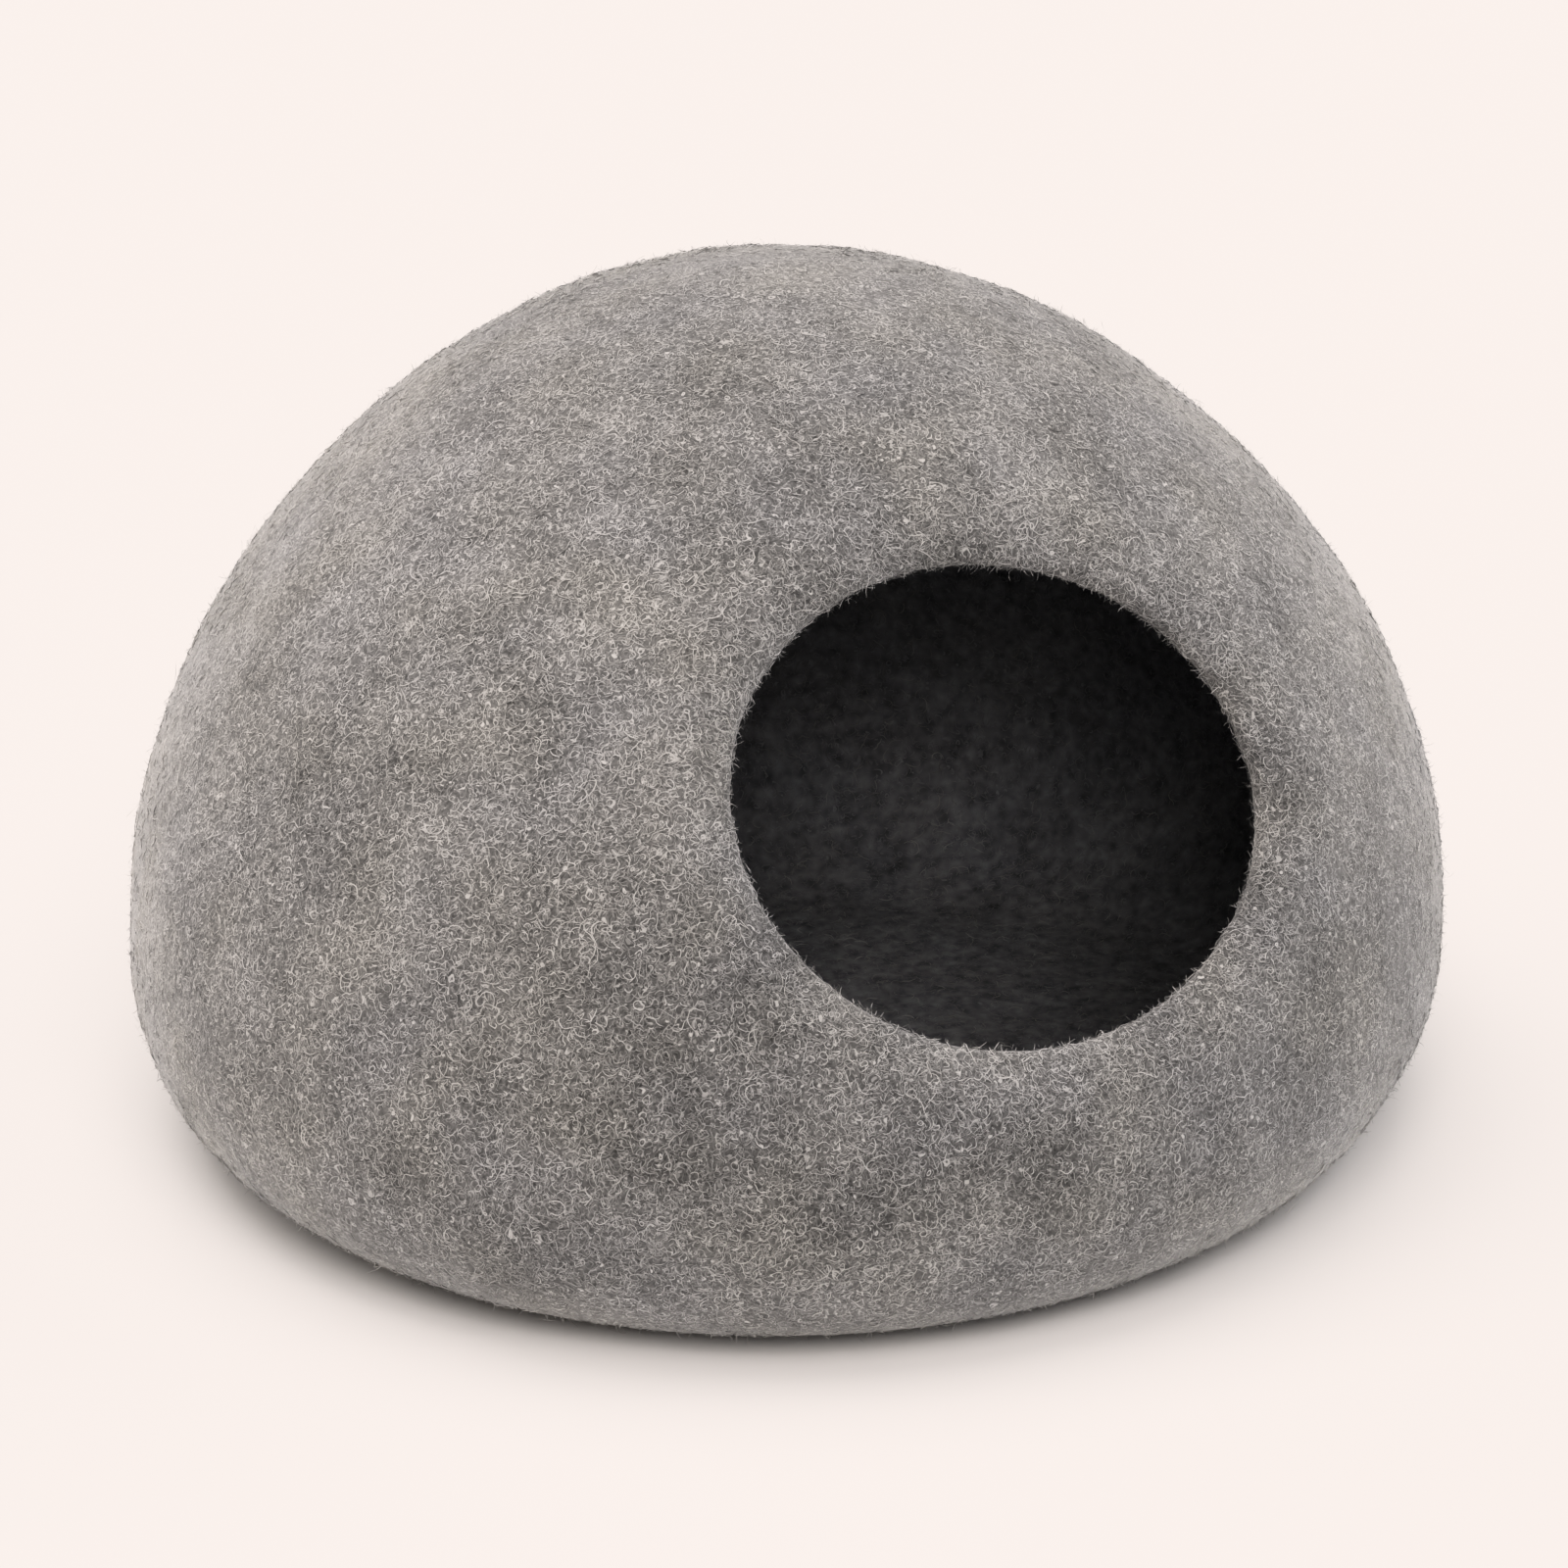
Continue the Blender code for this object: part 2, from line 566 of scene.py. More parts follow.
@dataclass(frozen=True)
class WoolBlend:
    """The colours of a blend of wools, and how it takes the light."""

    deep: tuple[float, float, float] = (0.040, 0.040, 0.040)
    middle: tuple[float, float, float] = (0.200, 0.199, 0.197)
    pale: tuple[float, float, float] = (0.505, 0.503, 0.498)
    cool: tuple[float, float, float] = (0.993, 0.996, 1.014)
    warm: tuple[float, float, float] = (1.012, 1.004, 0.979)
    roughness: float = 0.9
    specular: float = 0.15
    sheen: float = 0.45
    sheen_roughness: float = 0.5

    def shader(self, material: Material) -> tuple[Tree, Node]:
        """Starts a material on one Principled shader with this wool's plain values.

        Args:
            material: the new material.

        Returns:
            Its tree and its shader.
        """
        material.use_nodes = True
        tree = Tree(material.node_tree)
        plain_values = {
            "Roughness": self.roughness,
            "Specular IOR Level": self.specular,
            "Sheen Weight": self.sheen,
            "Sheen Roughness": self.sheen_roughness,
        }
        return tree, tree.feed(tree.tree.nodes["Principled BSDF"], plain_values)

    def colour(self, tree: Tree, blended: NodeTree, light: Value, warm: Value) -> NodeSocket:
        """Adds the blended_wool group with this wool's colours.

        Args:
            tree: the material's tree.
            blended: the group.
            light: how light the wool is.
            warm: how warm the wool is.

        Returns:
            Its colour output.
        """
        inputs = {
            "Deep": (*self.deep, 1.0),
            "Middle": (*self.middle, 1.0),
            "Pale": (*self.pale, 1.0),
            "Cool tint": (*self.cool, 1.0),
            "Warm tint": (*self.warm, 1.0),
            "Light": light,
            "Warm": warm,
        }
        return tree.add("ShaderNodeGroup", inputs, node_tree=blended).outputs[0]


@dataclass(frozen=True)
class Layer:
    """One layer of strands in the matted skin."""

    curled: bool
    per_metre: float
    thickness: float
    cover: float
    light: float


@dataclass(frozen=True)
class Effects:
    """The shader groups that the finishes share."""

    crimp: NodeTree
    curled: NodeTree
    wandering: NodeTree
    blended: NodeTree


@dataclass(frozen=True)
class MattedFelt:
    """The felt itself: strands matted into a skin, with painted shade darkening the gaps between
    them and the strands lying lower.
    """

    name: str
    blend: WoolBlend
    # Painted shade: the ground between the strands is drawn darkest.
    ground: float = 0.20
    grain: float = 0.30
    grains_per_metre: float = 700.0
    fleck: float = 0.10
    relief: float = 0.0006
    strength: float = 0.6
    raised: int = 2
    # Each layer is drawn lighter than the ones under it: painted shade, deeper the lower the
    # strands lie.
    layers: tuple[Layer, ...] = (
        Layer(False, 300.0, 0.022, 0.60, 0.40),
        Layer(True, 290.0, 0.060, 0.45, 0.50),
        Layer(False, 340.0, 0.024, 0.50, 0.58),
        Layer(True, 330.0, 0.062, 0.35, 0.68),
        Layer(False, 300.0, 0.018, 0.45, 0.80),
        Layer(True, 260.0, 0.046, 0.25, 0.92),
    )

    def material(self, effects: Effects) -> Material:
        """Makes the material.

        Args:
            effects: the shared shader groups.

        Returns:
            The finished material.
        """
        made = bpy.data.materials.new(self.name)
        tree, principled = self.blend.shader(made)
        straight = tree.add("ShaderNodeTexCoord").outputs["Object"]
        crimp = tree.add("ShaderNodeGroup", {"Place": straight}, node_tree=effects.crimp)
        inputs = {"Scale": self.grains_per_metre, "Detail": 1.0, "Roughness": 0.6}
        grain = tree.add("ShaderNodeTexNoise", {"Vector": straight, **inputs})
        grain = tree.math("SUBTRACT", grain.outputs[0], 0.5)
        light = tree.math("MULTIPLY_ADD", grain, 2 * self.grain, self.ground)
        height = tree.math("MULTIPLY", grain, 0.5)
        for i, layer in enumerate(self.layers):
            inputs = {
                "Place": crimp.outputs["Place"],
                "Shift": (0.37 * i, 0.19 * i, 0.53 * i),
                "Strands per metre": layer.per_metre,
                "Thickness": layer.thickness,
                "Cover": layer.cover,
                "Strand light": layer.light,
                "Light under": light,
            }
            strands = effects.curled if layer.curled else effects.wandering
            strand = tree.add("ShaderNodeGroup", inputs, node_tree=strands)
            light = strand.outputs["Light"]
            if i >= len(self.layers) - self.raised:
                tree.feed(strand, {"Height under": height})
                height = strand.outputs["Height"]
        # The flecks, with the painted shade and painted light of the broad patches.
        fleck = tree.add("ShaderNodeAttribute", attribute_name="fleck")
        parts = tree.add("ShaderNodeSeparateXYZ", {0: fleck.outputs["Vector"]})
        light = tree.math("MULTIPLY_ADD", parts.outputs[0], self.fleck, light)
        colour = self.blend.colour(tree, effects.blended, light, parts.outputs[1])
        inputs = {"Strength": self.strength, "Distance": self.relief, "Height": height}
        bump = tree.add("ShaderNodeBump", inputs)
        tree.feed(principled, {"Base Color": colour, "Normal": bump.outputs[0]})
        return made


@dataclass(frozen=True)
class LooseWool:
    """Single strands that stand on the felt."""

    name: str
    blend: WoolBlend

    def material(self, effects: Effects) -> Material:
        """Makes the material, which reads how light and warm each strand is from the strand.

        Args:
            effects: the shared shader groups.

        Returns:
            The finished material.
        """
        made = bpy.data.materials.new(self.name)
        tree, principled = self.blend.shader(made)
        light, warm = (
            tree.add("ShaderNodeAttribute", attribute_name=label).outputs["Fac"]
            for label in ("light", "warm")
        )
        colour = self.blend.colour(tree, effects.blended, light, warm)
        tree.feed(principled, {"Base Color": colour})
        return made


# ---- shell


@dataclass
class FeltShell:
    """The one skin of felt: its outside, its inside and the lip between them."""

    form: DomeForm
    laying: WoolLaying = WoolLaying()
    lumps: tuple[Lumps, ...] = (Lumps(22.0, 0.0011), Lumps(75.0, 0.0004, (4.0, 7.0, 1.0)))
    around: int = 200
    along: int = 112
    lip_steps: int = 10
    smooth_below: float = 0.002
    lumpy_above: float = 0.032
    foot_below: float = 0.001
    wall_above: float = 0.005

    def __post_init__(self) -> None:
        """Finds the skin, and moves it to stand where the CAD's shell stands."""
        rings = self.form.skin(self.around, self.along)
        low, high = (np.array(c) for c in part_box(NODE))
        mine_low, mine_high = rings.reshape(-1, 3).min(0), rings.reshape(-1, 3).max(0)
        move = (low + high) / 2 - (mine_low + mine_high) / 2
        move[2] = low[2] - mine_low[2]
        self.move = move
        self.rings = rings + move

    def outer_skin(self) -> np.ndarray:
        """The outer skin, uneven as hand felting leaves it.

        Returns:
            Its points ring by ring from the mouth, and then the back's point.
        """
        points = np.concatenate((self.rings[:-1].reshape(-1, 3), self.rings[-1].mean(0)[None]))
        out = unit(points - np.array(self.form.heart))
        high = np.array([sum(lump.rise(Vector(p)) for lump in self.lumps) for p in points])
        fade = self.lumpy_above - self.smooth_below
        calm = np.clip((points[:, 2] - self.smooth_below) / fade, 0, 1)
        return points + out * (high * calm)[:, None]

    def skin_faces(self) -> list[tuple[int, ...]]:
        """The faces of one skin: rows of quads, then a fan round the back's point.

        Returns:
            The points of each face.
        """
        n, last = self.around, self.along * self.around
        faces: list[tuple[int, ...]] = []
        for ring in range(self.along - 1):
            for i in range(n):
                a, b = ring * n + i, ring * n + (i + 1) % n
                faces.append((a, b, b + n, a + n))
        row = last - n
        return faces + [(row + i, row + (i + 1) % n, last) for i in range(n)]

    def normals(self, points: np.ndarray, faces: list[tuple[int, ...]]) -> np.ndarray:
        """Finds which way the skin faces.

        Args:
            points: the skin's points.
            faces: the skin's faces.

        Returns:
            The outward unit normal at each point.
        """
        mesh = bpy.data.meshes.new("skin_for_normals")
        mesh.from_pydata(points.tolist(), [], faces)
        found = np.empty(3 * len(points))
        mesh.vertices.foreach_get("normal", found)
        bpy.data.meshes.remove(mesh)
        found = found.reshape(-1, 3)
        out = points - np.array(self.form.heart)
        return found if (found * out).sum() > 0 else -found

    def inner_skin(self, outer: np.ndarray, out: np.ndarray) -> np.ndarray:
        """The inner skin, one felt's thickness in, and straight up from the foot.

        Args:
            outer: the outer skin's points.
            out: the outward normal at each of them.

        Returns:
            The inner skin's points, in the same order.
        """
        fade = self.wall_above - self.foot_below
        lift = np.clip((outer[:, 2] - self.foot_below) / fade, 0, 1)[:, None]
        upward = np.array((0.0, 0.0, 1.0))
        inward = np.where(lift < 1, -out * lift + upward * (1 - lift), -out)
        return outer + unit(inward) * self.form.felt

    def lip(self, outer: np.ndarray, inner: np.ndarray) -> list[np.ndarray]:
        """The rolled lip, half round from the outer skin's edge to the inner skin's.

        Args:
            outer: the outer skin's points.
            inner: the inner skin's points.

        Returns:
            The rings between the two edges, from the outside in.
        """
        n = self.around
        edge, back = outer[:n], inner[:n]
        middle, arm = (edge + back) / 2, (edge - back) / 2
        onward = edge - outer[n : 2 * n]
        onward -= (onward * arm).sum(1, keepdims=True) / (arm * arm).sum(1, keepdims=True) * arm
        onward = unit(onward) * np.linalg.norm(arm, axis=1, keepdims=True)
        turns = np.linspace(0, math.pi, self.lip_steps + 1)[1:-1]
        return [middle + arm * math.cos(t) + onward * math.sin(t) for t in turns]

    def build(self, felt: dict[Side, Material]) -> Object:
        """Builds the closed section: the outer skin, the rolled lip and the inner skin.

        Args:
            felt: the material of each side.

        Returns:
            The finished shell.
        """
        n = self.around
        faces = self.skin_faces()
        outer = self.outer_skin()
        inner = self.inner_skin(outer, self.normals(outer, faces))
        roll = self.lip(outer, inner)
        points = np.concatenate((outer, *roll, inner))
        first = len(outer)
        starts = [0, *(first + i * n for i in range(len(roll) + 1))]
        closed = list(faces)
        for low, high in zip(starts, starts[1:]):
            for i in range(n):
                j = (i + 1) % n
                closed.append((low + j, low + i, high + i, high + j))
        closed += [tuple(starts[-1] + v for v in reversed(face)) for face in faces]
        mesh = bpy.data.meshes.new("felt_shell_wool")
        mesh.from_pydata(points.tolist(), [], closed)
        mesh.materials.append(felt[Side.OUTSIDE])
        mesh.materials.append(felt[Side.INSIDE])
        for face in mesh.polygons[-len(faces) :]:
            face.material_index = 1
        mesh.shade_smooth()
        work = bmesh.new()
        work.from_mesh(mesh)
        bmesh.ops.recalc_face_normals(work, faces=work.faces)
        work.to_mesh(mesh)
        work.free()
        self.laying.mark(mesh)
        LOG.info("%s: %d faces", mesh.name, len(mesh.polygons))
        return put("felt_shell_wool", mesh)


def put(name: str, data: ID) -> Object:
    """Puts a new object into the scene.

    Args:
        name: its name.
        data: its mesh, lamp or camera.

    Returns:
        The object.
    """
    made = bpy.data.objects.new(name, data)
    bpy.context.scene.collection.objects.link(made)
    return made


def plain(ob: Object) -> Object:
    """Turns what an object's modifiers make into its own mesh, and removes them.

    Args:
        ob: the object.

    Returns:
        The same object.
    """
    bpy.context.view_layer.update()
    graph = bpy.context.evaluated_depsgraph_get()
    mesh = bpy.data.meshes.new_from_object(
        ob.evaluated_get(graph), preserve_all_data_layers=True, depsgraph=graph
    )
    old = ob.data
    ob.modifiers.clear()
    ob.data = mesh
    bpy.data.meshes.remove(old)
    mesh.name = ob.name
    return ob


# ---- loose wool


@dataclass(frozen=True)
class Curl:
    """One kind of loose strand: a narrow ribbon that lies curled on the felt."""

    steps: int = 7
    step: float = 0.0011
    bend: tuple[float, float] = (0.05, 0.75)
    turn_back: float = 0.20
    thickness: float = 0.00028
    arch: float = 0.0006
    sink: float = 0.00025
    lean: float = 0.4
    twist: float = 0.5
    twist_kept: float = 0.7
    uneven: tuple[float, float] = (0.8, 1.2)
    stand: float = 0.0
    shortest: float = 0.4

    def mesh(self, name: str, rng: np.random.Generator) -> Mesh:
        """One strand of this kind.

        Args:
            name: the mesh's name.
            rng: where its chance comes from.

        Returns:
            A ribbon that lies in the XY plane with +Z off the felt.
        """
        heading, side = rng.uniform(0, 2 * np.pi), rng.choice((-1, 1))
        twist = rng.normal(0, self.lean)
        places, ways, twists = [np.zeros(2)], [], []
        for _ in range(self.steps):
            way = np.array((np.cos(heading), np.sin(heading)))
            places.append(places[-1] + way * self.step * rng.uniform(*self.uneven))
            ways.append(way)
            twists.append(twist)
            if rng.random() < self.turn_back:
                side = -side
            heading += side * rng.uniform(*self.bend)
            twist = self.twist_kept * twist + rng.normal(0, self.twist)
        ways.append(ways[-1])
        twists.append(twist)
        flat = np.array(places) - np.mean(places, axis=0)
        along = np.linspace(0, 1, self.steps + 1)
        bow = np.sin(np.pi * along) ** 0.7
        wave = 0.5 + 0.5 * np.sin(2 * np.pi * (along * rng.uniform(0.8, 1.8) + rng.random()))
        high = self.arch * bow * (0.35 + 0.65 * wave) - self.sink * (1 - bow)
        if self.stand:
            tall = self.stand * rng.uniform(self.shortest, 1.0)
            high = tall * along**0.8 - self.sink * (1 - along)
        half = self.thickness / 2 * (0.45 + 0.55 * bow) * rng.uniform(*self.uneven)
        corners = []
        for p, z, w, t, h in zip(flat, high, ways, twists, half):
            out = Vector((-w[1] * math.cos(t), w[0] * math.cos(t), math.sin(t))) * h
            middle = Vector((p[0], p[1], z))
            corners += [middle + out, middle - out]
        faces = [(2 * i + 1, 2 * i + 3, 2 * i + 2, 2 * i) for i in range(self.steps)]
        mesh = bpy.data.meshes.new(name)
        mesh.from_pydata(corners, [], faces)
        mesh.shade_smooth()
        cell = mesh.attributes.new("cell", "FLOAT_VECTOR", "POINT")
        spots = [(float(i % 2), i // 2 / self.steps, 0.0) for i in range(len(corners))]
        cell.data.foreach_set("vector", [n for spot in spots for n in spot])
        return mesh


@dataclass(frozen=True)
class Swatch:
    """Where a strand's colour lies on a chart: the place that its map gives it.

    Light wool lies to the right and warm wool at the top, so that strands of one colour share it.
    """

    left: float = 0.02
    wide: float = 0.94
    middle: float = 0.50
    tall: float = 0.45
    strand: tuple[float, float] = (0.012, 0.04)

    def place(self, tree: Tree, cell: Node, light: Value, warm: Value) -> NodeSocket:
        """Finds the place on the chart.

        Args:
            tree: the tree under construction.
            cell: where this is on its own strand, across and along.
            light: how light the strand is.
            warm: how warm the strand is.

        Returns:
            The place, as a vector.
        """
        across = tree.math("MULTIPLY_ADD", cell.outputs[0], self.strand[0], self.left)
        across = tree.math("MULTIPLY_ADD", light, self.wide, across)
        upward = tree.math("MULTIPLY_ADD", cell.outputs[1], self.strand[1], self.middle)
        upward = tree.math("MULTIPLY_ADD", warm, self.tall, upward)
        return tree.add("ShaderNodeCombineXYZ", {0: across, 1: upward}).outputs[0]


def grow_tree(warm_spread: float = 0.25) -> NodeTree:
    """The node tree that grows a coat of strands on a skin.

    Args:
        warm_spread: how much warmer or cooler a strand may be than the felt under it.

    Returns:
        The tree.
    """
    made = bpy.data.node_groups.new("grow_wool", "GeometryNodeTree")
    face = made.interface
    for label, kind, default in (
        ("Skin", "Geometry", None),
        ("Strands per square metre", "Float", 10000.0),
        ("Seed", "Int", 0),
        ("Kinds", "Collection", None),
        ("Smallest", "Float", 0.8),
        ("Largest", "Float", 1.2),
        ("Rise", "Float", 0.1),
        ("Light", "Float", 0.6),
        ("Light spread", "Float", 0.2),
        ("Fleck gain", "Float", 0.16),
        ("Wool", "Material", None),
    ):
        socket = face.new_socket(label, in_out="INPUT", socket_type=f"NodeSocket{kind}")
        if default is not None:
            socket.default_value = default
    face.new_socket("Coat", in_out="OUTPUT", socket_type="NodeSocketGeometry")
    tree = Tree(made)
    given = tree.add("NodeGroupInput").outputs
    seed = given["Seed"]

    def chance(low: Value, high: Value, more: int, kind: str = "FLOAT") -> NodeSocket:
        """A random number for each strand.

        Args:
            low: the least it may be.
            high: the most it may be.
            more: what is added to the seed, so that each chance is its own.
            kind: the number's type.

        Returns:
            Its output.
        """
        node = tree.add("FunctionNodeRandomValue", data_type=kind)
        least, most = (
            i for i, s in enumerate(node.inputs) if s.enabled and s.name in ("Min", "Max")
        )
        salt = tree.math("ADD", seed, float(more))
        tree.feed(node, {least: low, most: high, "Seed": salt})
        return next(s for s in node.outputs if s.enabled)

    def named(label: str, kind: str) -> NodeSocket:
        """Reads an attribute of this name and type."""
        node = tree.add("GeometryNodeInputNamedAttribute", {"Name": label}, data_type=kind)
        return next(s for s in node.outputs if s.enabled and s.name == "Attribute")

    density = tree.math("MULTIPLY", given["Strands per square metre"], named("cover", "FLOAT"))
    dots = tree.add(
        "GeometryNodeDistributePointsOnFaces",
        {"Mesh": given["Skin"], "Density": density, "Seed": seed},
        distribute_method="RANDOM",
    )
    rise = tree.math("MULTIPLY", given["Rise"], -1.0)
    pitch, roll = (chance(rise, given["Rise"], more) for more in (1, 2))
    lean = tree.add("ShaderNodeCombineXYZ", {0: pitch, 1: roll, 2: chance(0.0, 2 * math.pi, 3)})
    lean = tree.add("FunctionNodeEulerToRotation", {0: lean.outputs[0]})
    turned = tree.add(
        "FunctionNodeRotateRotation",
        {0: dots.outputs["Rotation"], 1: lean.outputs[0]},
        rotation_space="LOCAL",
    )
    kinds = tree.add(
        "GeometryNodeCollectionInfo",
        {"Collection": given["Kinds"], "Separate Children": True, "Reset Children": True},
    )
    size = chance(given["Smallest"], given["Largest"], 4)
    placed = tree.add(
        "GeometryNodeInstanceOnPoints",
        {
            "Points": dots.outputs["Points"],
            "Instance": kinds.outputs[0],
            "Pick Instance": True,
            "Instance Index": chance(0, 999, 5, "INT"),
            "Rotation": turned.outputs[0],
            "Scale": size,
        },
    )
    # Strands take the flecks and the painted shade and light of the felt under them.
    fleck = tree.add("ShaderNodeSeparateXYZ", {0: named("fleck", "FLOAT_VECTOR")})
    spread = tree.math("MULTIPLY", given["Light spread"], chance(-1.0, 1.0, 6))
    light = tree.math("ADD", given["Light"], spread)
    light = tree.math("MULTIPLY_ADD", fleck.outputs[0], given["Fleck gain"], light)
    light = tree.add("ShaderNodeClamp", {"Value": light}).outputs[0]
    warm = tree.math("ADD", fleck.outputs[1], chance(-warm_spread, warm_spread, 7))
    warm = tree.add("ShaderNodeClamp", {"Value": warm, "Min": -1.0, "Max": 1.0}).outputs[0]
    coat = placed.outputs[0]
    for label, value in (("light", light), ("warm", warm)):
        coat = tree.add(
            "GeometryNodeStoreNamedAttribute",
            {"Geometry": coat, "Name": label, "Value": value},
            data_type="FLOAT",
            domain="INSTANCE",
        ).outputs[0]
    coat = tree.add("GeometryNodeRealizeInstances", {0: coat}).outputs[0]
    cell = tree.add("ShaderNodeSeparateXYZ", {0: named("cell", "FLOAT_VECTOR")})
    spot = Swatch().place(tree, cell, named("light", "FLOAT"), named("warm", "FLOAT"))
    coat = tree.add(
        "GeometryNodeStoreNamedAttribute",
        {"Geometry": coat, "Name": BAKE_MAP, "Value": spot},
        data_type="FLOAT2",
        domain="CORNER",
    ).outputs[0]
    coat = tree.add("GeometryNodeSetMaterial", {0: coat, "Material": given["Wool"]}).outputs[0]
    tree.add("NodeGroupOutput", {0: coat})
    return made


@dataclass
class WoolCoat:
    """A coat of loose strands grown on one side of the felt."""

    name: str
    curl: Curl
    count: int
    seed: int
    light: float = 0.60
    spread: float = 0.18
    rise: float = 0.10
    sizes: tuple[float, float] = (0.75, 1.25)
    kinds: int = 36

    def grow(self, skin: Mesh, tree: NodeTree, wool: Material) -> Object:
        """Grows the coat.

        Args:
            skin: the surface, with its flecks, painted shade and light, and cover marked.
            tree: the grow_wool tree.
            wool: the strands' material.

        Returns:
            The coat as one plain mesh.
        """
        rng = np.random.default_rng(self.seed)
        kinds = bpy.data.collections.new(f"{self.name}_kinds")
        for i in range(self.kinds):
            label = f"{self.name}_kind_{i:02d}"
            kinds.objects.link(bpy.data.objects.new(label, self.curl.mesh(label, rng)))
        cover = np.empty(len(skin.vertices))
        skin.attributes["cover"].data.foreach_get("value", cover)
        room = sum(p.area * float(cover[list(p.vertices)].mean()) for p in skin.polygons)
        coat = put(self.name, skin.copy())
        growth = coat.modifiers.new("growth", "NODES")
        growth.node_group = tree
        values = {
            "Strands per square metre": self.count / room,
            "Seed": self.seed,
            "Kinds": kinds,
            "Smallest": self.sizes[0],
            "Largest": self.sizes[1],
            "Rise": self.rise,
            "Light": self.light,
            "Light spread": self.spread,
            "Wool": wool,
        }
        for item in tree.interface.items_tree:
            if item.item_type == "SOCKET" and item.name in values:
                growth[item.identifier] = values[item.name]
        plain(coat)
        for label in ("cell", "cover", "fleck"):
            if label in coat.data.attributes:
                coat.data.attributes.remove(coat.data.attributes[label])
        for ob in list(kinds.objects):
            mesh = ob.data
            bpy.data.objects.remove(ob)
            bpy.data.meshes.remove(mesh)
        bpy.data.collections.remove(kinds)
        LOG.info("%s: %d faces", self.name, len(coat.data.polygons))
        return coat


@dataclass(frozen=True)
class Cover:
    """How thickly strands stand on each part of the felt, from 0 to 1."""

    form: DomeForm
    shell: FeltShell
    outside: float = 1.0
    inside: float = 0.3
    lip: float = 1.0
    lip_reach: float = 0.014
    bare_below: float = 0.003
    foot_fade: float = 0.005
    skin_depth: float = 0.972
    skin_fade: float = 0.01

    def mark(self, mesh: Mesh) -> None:
        """Writes the cover at each point.

        Args:
            mesh: a copy of the shell's mesh, whose points are marked "cover".
        """
        points = np.empty(3 * len(mesh.vertices))
        mesh.vertices.foreach_get("co", points)
        points = points.reshape(-1, 3)
        depth = self.form.reach(points - self.shell.move)
        outer = np.clip((depth - self.skin_depth) / self.skin_fade, 0, 1)
        share = self.inside + (self.outside - self.inside) * outer
        gap = np.full(len(points), 1.0)
        for edge in self.shell.rings[0][::2]:
            gap = np.minimum(gap, np.linalg.norm(points - edge, axis=1))
        near = np.clip(2 - gap / self.lip_reach, 0, 1)
        share = share + (self.lip - share) * near
        share *= np.clip((points[:, 2] - self.bare_below) / self.foot_fade, 0, 1)
        mark = mesh.attributes.new("cover", "FLOAT", "POINT")
        mark.data.foreach_set("value", share)


# ---- studio


@dataclass(frozen=True)
class Lamp:
    """One soft light far away: where it stands, how wide it looks, its strength and colour.

    Its place and width are in degrees, and azimuth 0 is the object's front.
    """

    azimuth: float
    height: float
    softness: float
    strength: float
    colour: tuple[float, float, float] = (1.0, 1.0, 1.0)
    floor_only: bool = False


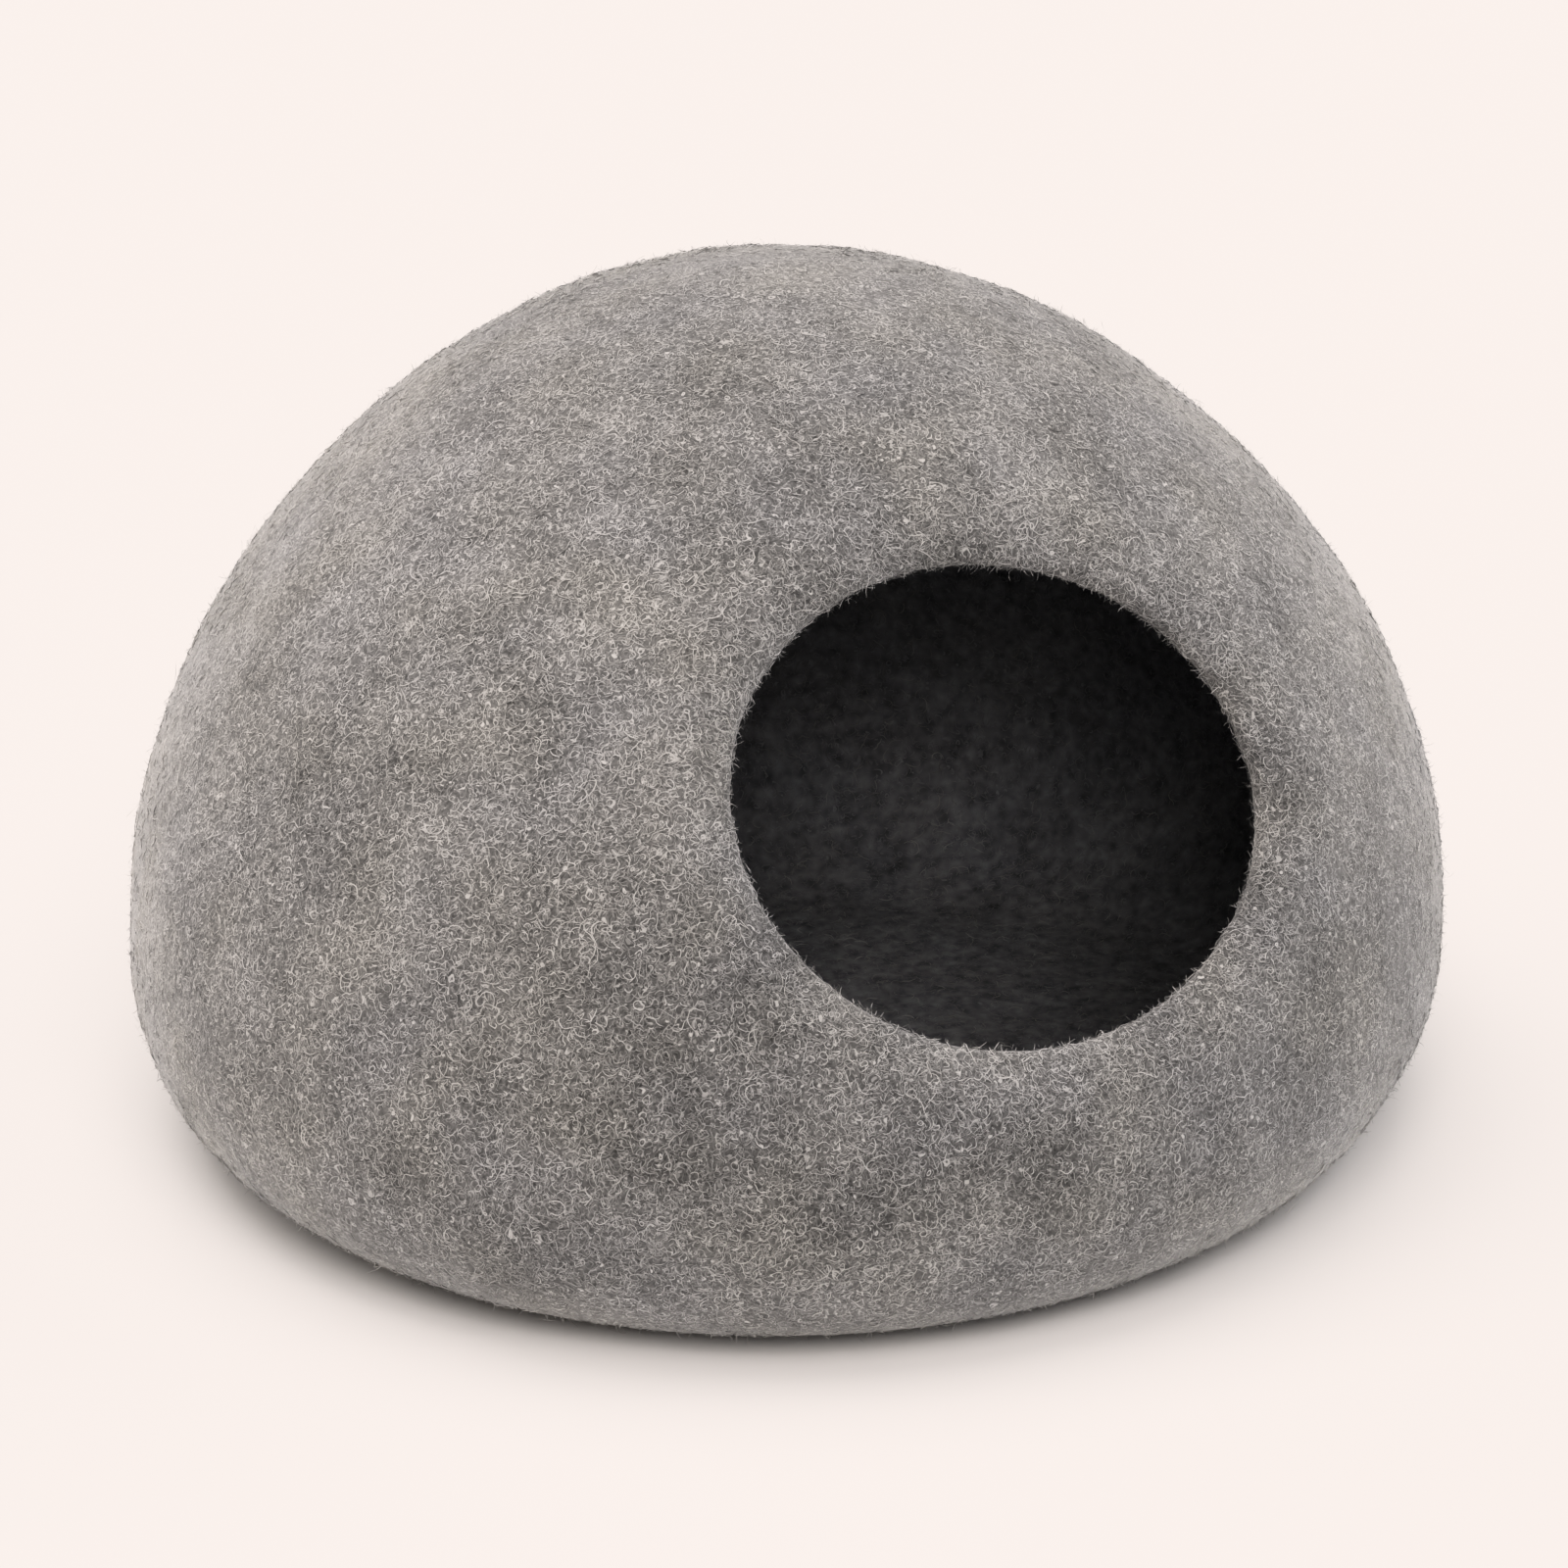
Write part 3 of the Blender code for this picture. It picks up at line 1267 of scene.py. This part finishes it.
@dataclass(frozen=True)
class Studio:
    """The floor, the lights, the camera and its film."""

    azimuth: float = math.radians(-22.32)
    elevation: float = math.radians(20.0)
    distance: float = 1.65
    target: tuple[float, float, float] = (-0.0012, 0.0003, 0.15)
    aim_down: float = 0.0253
    aim_left: float = 0.0035
    lens: float = 104.5
    floor_half: float = 30.0
    floor_light: float = 0.60
    sky: float = 0.02
    white: float = 1.25
    lamps: tuple[Lamp, ...] = (
        Lamp(205, 80, 50, 0.84, (0.995, 1.0, 1.005)),
        Lamp(225, 27, 50, 0.28),
        Lamp(270, 62, 50, 0.22, (1.01, 1.0, 0.99)),
        Lamp(90, 25, 50, 0.29, (0.97, 1.0, 1.03)),
        Lamp(60, 55, 50, 0.12, (0.92, 1.0, 1.08)),
        Lamp(-15, 38, 30, 0.17, (0.99, 1.0, 1.01)),
        Lamp(-20, 24, 20, 0.09, (0.99, 1.0, 1.01)),
        Lamp(-80, 8, 50, 0.12, (1.14, 1.0, 0.80)),
        Lamp(-15, 48, 42, 0.85, floor_only=True),
    )
    film_curve: tuple[tuple[float, float], ...] = (
        (0.02, 0.012), (0.05, 0.036), (0.1, 0.082), (0.2, 0.188), (0.3, 0.306), (0.4, 0.433),
        (0.5, 0.533), (0.75, 0.715), (1.0, 0.82), (1.25, 0.887), (1.5, 0.925), (2.0, 0.96),
    )
    paper: tuple[float, float, float] = (1.068, 0.982, 0.937)

    @staticmethod
    def way(azimuth: float, height: float) -> Vector:
        """The way from the object towards a place far off.

        Args:
            azimuth: its turn round the object in radians, 0 being the front.
            height: its angle over the floor in radians.

        Returns:
            A unit vector.
        """
        out = math.cos(height)
        return Vector((math.sin(azimuth) * out, -math.cos(azimuth) * out, math.sin(height)))

    def camera(self) -> None:
        """Places the camera and makes it the scene's."""
        back = self.way(self.azimuth, self.elevation)
        right = (-back).cross(Vector((0, 0, 1))).normalized()
        up = right.cross(-back)
        camera = put("camera", bpy.data.cameras.new("camera"))
        camera.data.lens = self.lens
        camera.data.sensor_width = 36
        camera.location = Vector(self.target) + back * self.distance
        aim = Vector(self.target) - up * self.aim_down - right * self.aim_left
        camera.rotation_mode = "QUATERNION"
        camera.rotation_quaternion = (aim - camera.location).to_track_quat("-Z", "Y")
        camera.data.clip_end = 100
        bpy.context.scene.camera = camera

    def floor(self) -> Object:
        """Lays the pale floor.

        Returns:
            The floor.
        """
        half = self.floor_half
        mesh = bpy.data.meshes.new("floor")
        corners = [(-half, -half, 0), (half, -half, 0), (half, half, 0), (-half, half, 0)]
        mesh.from_pydata(corners, [], [(0, 1, 2, 3)])
        floor = put("floor", mesh)
        paper = bpy.data.materials.new("pale_floor")
        paper.use_nodes = True
        matt = {"Roughness": 0.9, "Specular IOR Level": 0.0}
        colour = {"Base Color": (*[self.floor_light] * 3, 1)}
        Tree(paper.node_tree).feed(paper.node_tree.nodes["Principled BSDF"], colour | matt)
        mesh.materials.append(paper)
        return floor

    def lights(self, floor: Object) -> None:
        """Sets the lamps, and a pale backdrop that hardly lights the room.

        Args:
            floor: what the floor's own lamps shine on.
        """
        only_floor = bpy.data.collections.new("only_floor")
        only_floor.objects.link(floor)
        world = bpy.data.worlds.new("studio")
        bpy.context.scene.world = world
        world.use_nodes = True
        tree = Tree(world.node_tree)
        seen = tree.add("ShaderNodeLightPath").outputs["Is Camera Ray"]
        strength = tree.math("MULTIPLY_ADD", seen, self.white - self.sky, self.sky)
        ground = world.node_tree.nodes["Background"]
        tree.feed(ground, {"Color": (1, 1, 1, 1), "Strength": strength})
        for i, lamp in enumerate(self.lamps):
            name = f"soft_lamp_{i + 1}"
            light = put(name, bpy.data.lights.new(name, "SUN"))
            light.data.energy = lamp.strength * math.pi
            light.data.angle = math.radians(lamp.softness)
            light.data.color = lamp.colour
            towards = self.way(math.radians(lamp.azimuth), math.radians(lamp.height))
            light.rotation_mode = "QUATERNION"
            light.rotation_quaternion = towards.to_track_quat("Z", "Y")
            if lamp.floor_only:
                light.light_linking.receiver_collection = only_floor

    def film(self) -> None:
        """Gives the picture a film's soft contrast and a warm paper white."""
        view = bpy.context.scene.view_settings
        view.view_transform = "Standard"
        view.use_curve_mapping = True
        mapping = view.curve_mapping
        mapping.clip_max_x = mapping.clip_max_y = 4.0
        for curve, top in zip(mapping.curves, self.paper):
            curve.points[1].location = (4.0, top)
            for place, height in self.film_curve:
                curve.points.new(place, height * top)
        mapping.update()


# ---- the cave


GREY_WOOL = WoolBlend()
FELTS = {
    Side.OUTSIDE: MattedFelt("matted_grey_wool", GREY_WOOL),
    # The inside is the same grey felt as the outside. Its lighter, cooler colours are painted
    # light on the shaded inner face, and its layers darken downward as painted shade like the
    # outside's.
    Side.INSIDE: MattedFelt(
        "matted_inner_wool",
        WoolBlend(
            deep=(0.048, 0.048, 0.049),
            middle=(0.246, 0.244, 0.245),
            cool=(0.96, 0.99, 1.05),
            warm=(0.98, 0.99, 1.03),
            sheen=0.10,
        ),
        ground=0.50,
        grain=0.55,
        grains_per_metre=170.0,
        layers=(
            Layer(False, 260.0, 0.030, 0.60, 0.58),
            Layer(True, 300.0, 0.060, 0.40, 0.68),
        ),
    ),
}
CURL = Curl()
FUZZ = Curl(steps=3, step=0.0011, bend=(0.0, 0.6), thickness=0.00018, stand=0.0025)
STRAY = Curl(steps=8, step=0.0010, bend=(0.0, 0.35), thickness=0.00018, stand=0.0045)
CURLED_COATS = (
    WoolCoat("wool_coat_1", CURL, 12000, 11, light=0.62),
    WoolCoat("wool_coat_2", CURL, 12000, 12, light=0.72),
    WoolCoat("wool_coat_3", CURL, 12000, 13, light=0.82),
    WoolCoat("wool_coat_4", CURL, 12000, 14, light=0.92),
)
STANDING_COATS = (
    WoolCoat("wool_fuzz", FUZZ, 24000, 15, light=0.85, rise=0.5),
    WoolCoat("stray_hairs", STRAY, 450, 16, light=0.85, rise=0.4),
)


def ride(piece: Object) -> None:
    """Makes a piece part of the cave."""
    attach(piece, "root")


def main() -> None:
    """Builds the cave and its studio in order."""
    logging.basicConfig(level=logging.INFO, format="%(name)s: %(message)s")
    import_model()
    studio = Studio()
    studio.camera()
    studio.lights(studio.floor())
    studio.film()

    effects = Effects(wander_group(), strands_group(True), strands_group(False), blend_group())
    form = DomeForm()
    shell = FeltShell(form)
    felted = shell.build({side: felt.material(effects) for side, felt in FELTS.items()})
    ride(felted)
    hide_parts(NODE)

    skin = felted.data.copy()
    tree = grow_tree()
    loose = LooseWool("loose_grey_wool", GREY_WOOL).material(effects)
    for cover, coats in (
        (Cover(form, shell), CURLED_COATS),
        (Cover(form, shell, outside=0.22, inside=0.0), STANDING_COATS),
    ):
        cover.mark(skin)
        for coat in coats:
            ride(coat.grow(skin, tree, loose))
        skin.attributes.remove(skin.attributes["cover"])
    bpy.data.meshes.remove(skin)


if __name__ == "__main__":
    main()
